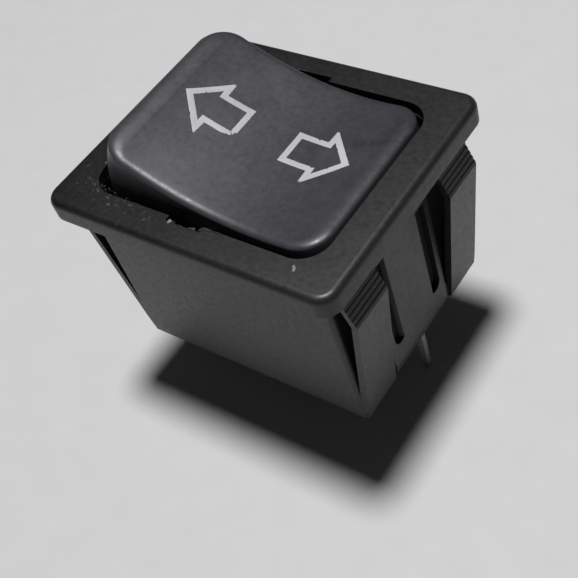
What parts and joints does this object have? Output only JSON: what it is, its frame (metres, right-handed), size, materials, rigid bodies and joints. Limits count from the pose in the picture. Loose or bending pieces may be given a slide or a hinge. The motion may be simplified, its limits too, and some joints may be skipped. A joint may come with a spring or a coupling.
{
  "type": "two-pole rocker switch",
  "caption": "Black snap-in rocker switch with a hollowed cap, outline arrows, a broad bezel, latch tongues at both ends and solder pins below.",
  "frame": {"origin": "centre of the bezel's underside, where it meets the panel", "axes": "+X along the rocker towards the end that is pressed at rest, +Y across the rocker, +Z out of the panel towards the user"},
  "size_m": [0.0314, 0.0254, 0.0324],
  "materials": {
    "housing_plastic": "fine moulded texture, slightly worn edges",
    "rocker_plastic": "satin moulded cap with rubbed edges",
    "print_ink": "thin light grey print, slightly chipped",
    "carrier_plastic": "plain moulded",
    "plunger_nylon": "smooth natural nylon",
    "spring_steel": "bright drawn wire",
    "lever_brass": "stamped strip",
    "terminal_tin": "dull tinned strip",
    "contact_silver": "plain silver rivet"
  },
  "bodies": {
    "housing": {"housing": "housing_plastic", "base_plate": "carrier_plastic", "common_terminal_a": "terminal_tin", "common_terminal_b": "terminal_tin", "end_terminal_left": "terminal_tin", "end_terminal_right": "terminal_tin", "fixed_contact_a_left": "contact_silver", "fixed_contact_a_right": "contact_silver", "fixed_contact_b_left": "contact_silver", "fixed_contact_b_right": "contact_silver"},
    "rocker": {"rocker": "rocker_plastic", "left_arrow": "print_ink", "right_arrow": "print_ink", "spring_a": "spring_steel", "spring_b": "spring_steel"},
    "plunger_a": {"plunger_a": "plunger_nylon"},
    "plunger_b": {"plunger_b": "plunger_nylon"},
    "lever_a": {"contact_lever_a": "lever_brass", "moving_contact_a_left": "contact_silver", "moving_contact_a_right": "contact_silver"},
    "lever_b": {"contact_lever_b": "lever_brass", "moving_contact_b_left": "contact_silver", "moving_contact_b_right": "contact_silver"}
  },
  "joints": [
    {"name": "rocker_tilt", "type": "hinge", "parent": "housing", "child": "rocker", "pos_m": [0, 0, -0.0011], "axis": [0, -1, 0], "range_deg": [0, 25.2]},
    {"name": "lever_a_tilt", "type": "hinge", "parent": "housing", "child": "lever_a", "pos_m": [0, -0.0042, -0.00945], "axis": [0, -1, 0], "range_deg": [-14.01, 0]},
    {"name": "lever_b_tilt", "type": "hinge", "parent": "housing", "child": "lever_b", "pos_m": [0, 0.0042, -0.00945], "axis": [0, -1, 0], "range_deg": [-14.01, 0]},
    {"name": "plunger_a_slide", "type": "slide", "parent": "rocker", "child": "plunger_a", "axis": [0.2181, 0, 0.9759], "range_m": [0, 0.0006], "stiffness_N_per_m": 400, "springref_m": -0.002, "deforming": ["spring_a"]},
    {"name": "plunger_b_slide", "type": "slide", "parent": "rocker", "child": "plunger_b", "axis": [0.2181, 0, 0.9759], "range_m": [0, 0.0006], "stiffness_N_per_m": 400, "springref_m": -0.002, "deforming": ["spring_b"]}
  ],
  "couplings": [
    {"joint": "lever_a_tilt", "follows": "rocker_tilt", "ratio": -0.55556},
    {"joint": "lever_b_tilt", "follows": "rocker_tilt", "ratio": -0.55556}
  ]
}
